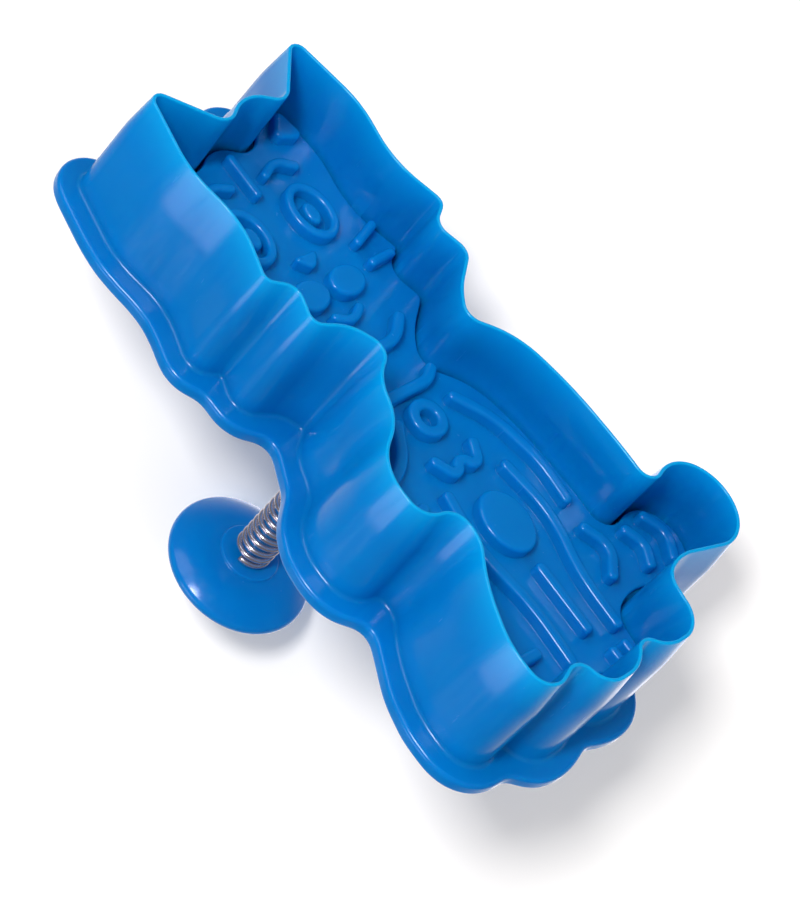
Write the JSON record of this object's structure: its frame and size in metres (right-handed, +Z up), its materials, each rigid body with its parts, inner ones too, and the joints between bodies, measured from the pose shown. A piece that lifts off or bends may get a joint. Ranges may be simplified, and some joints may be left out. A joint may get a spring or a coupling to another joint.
{
  "type": "plunger cutter",
  "caption": "Press-and-stamp dough cutter: kitten-outline cutting wall with a sprung relief stamp, moved by a stem with a round knob.",
  "frame": {"origin": "middle of the part's outline in the plane of the cutting edge", "axes": "+Z up from the cutting edge to the knob, along the plunger; +Y from the figure's feet to its ears; +X to the left of the figure as it is seen from the cutting side"},
  "size_m": [0.0676, 0.1198, 0.0668],
  "materials": {
    "blue_plastic": "injection-moulded gloss plastic, saturated blue",
    "spring_steel": "bright drawn spring wire",
    "screw_steel": "zinc-plated steel"
  },
  "bodies": {
    "cutter": {"cutter_body": "blue_plastic", "return_spring": "spring_steel"},
    "plunger": {"stamp_plate": "blue_plastic", "plunger_stem": "blue_plastic", "stem_screw": "screw_steel", "screw_washer": "screw_steel", "knob": "blue_plastic", "knob_cap": "blue_plastic"}
  },
  "joints": [
    {"name": "plunge", "type": "slide", "parent": "cutter", "child": "plunger", "axis": [0, 0, -1], "range_m": [0, 0.012], "stiffness_N_per_m": 1500, "springref_m": -0.004, "deforming": ["return_spring"]}
  ]
}
